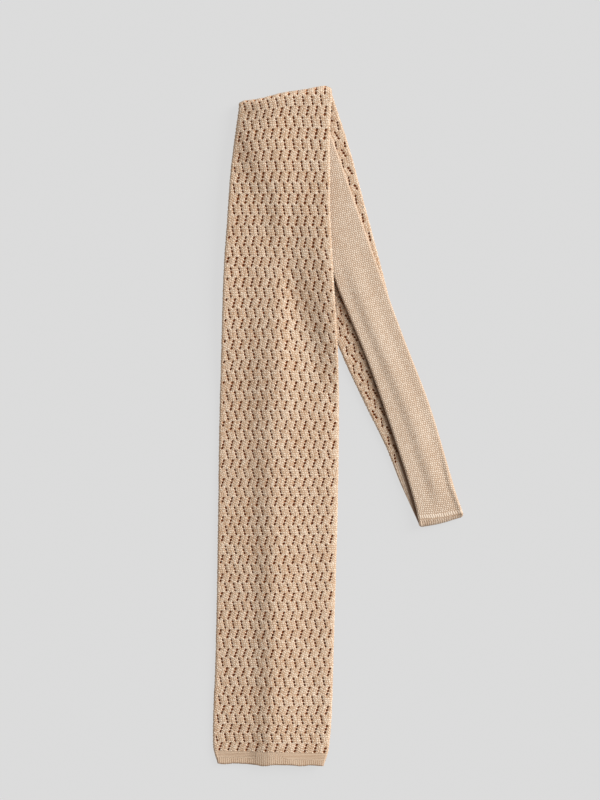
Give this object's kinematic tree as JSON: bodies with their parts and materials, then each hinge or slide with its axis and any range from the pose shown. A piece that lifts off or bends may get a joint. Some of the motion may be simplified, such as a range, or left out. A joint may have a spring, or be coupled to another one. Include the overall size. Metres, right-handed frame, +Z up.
{
  "type": "knit tie",
  "caption": "Knit tie with a lace-knit blade and a plain neckband, folded in half and once more over the top, lying flat.",
  "frame": {"origin": "middle of the folded tie's outline, on the surface that it lies on", "axes": "+Z up from the surface towards the viewer, +Y up along the front blade towards the top fold, +X to the viewer's right"},
  "size_m": [0.156, 0.4244, 0.0111],
  "materials": {
    "lace_knit": "matt lace knit with small slanted groups of holes",
    "plain_knit": "matt plain knit in fine stitches",
    "rib_knit": "matt fine rib"
  },
  "bodies": {
    "root": {"wide_hem": "rib_knit", "wide_blade": "lace_knit", "neckband": "plain_knit", "narrow_blade": "lace_knit", "narrow_hem": "rib_knit"}
  },
  "joints": []
}
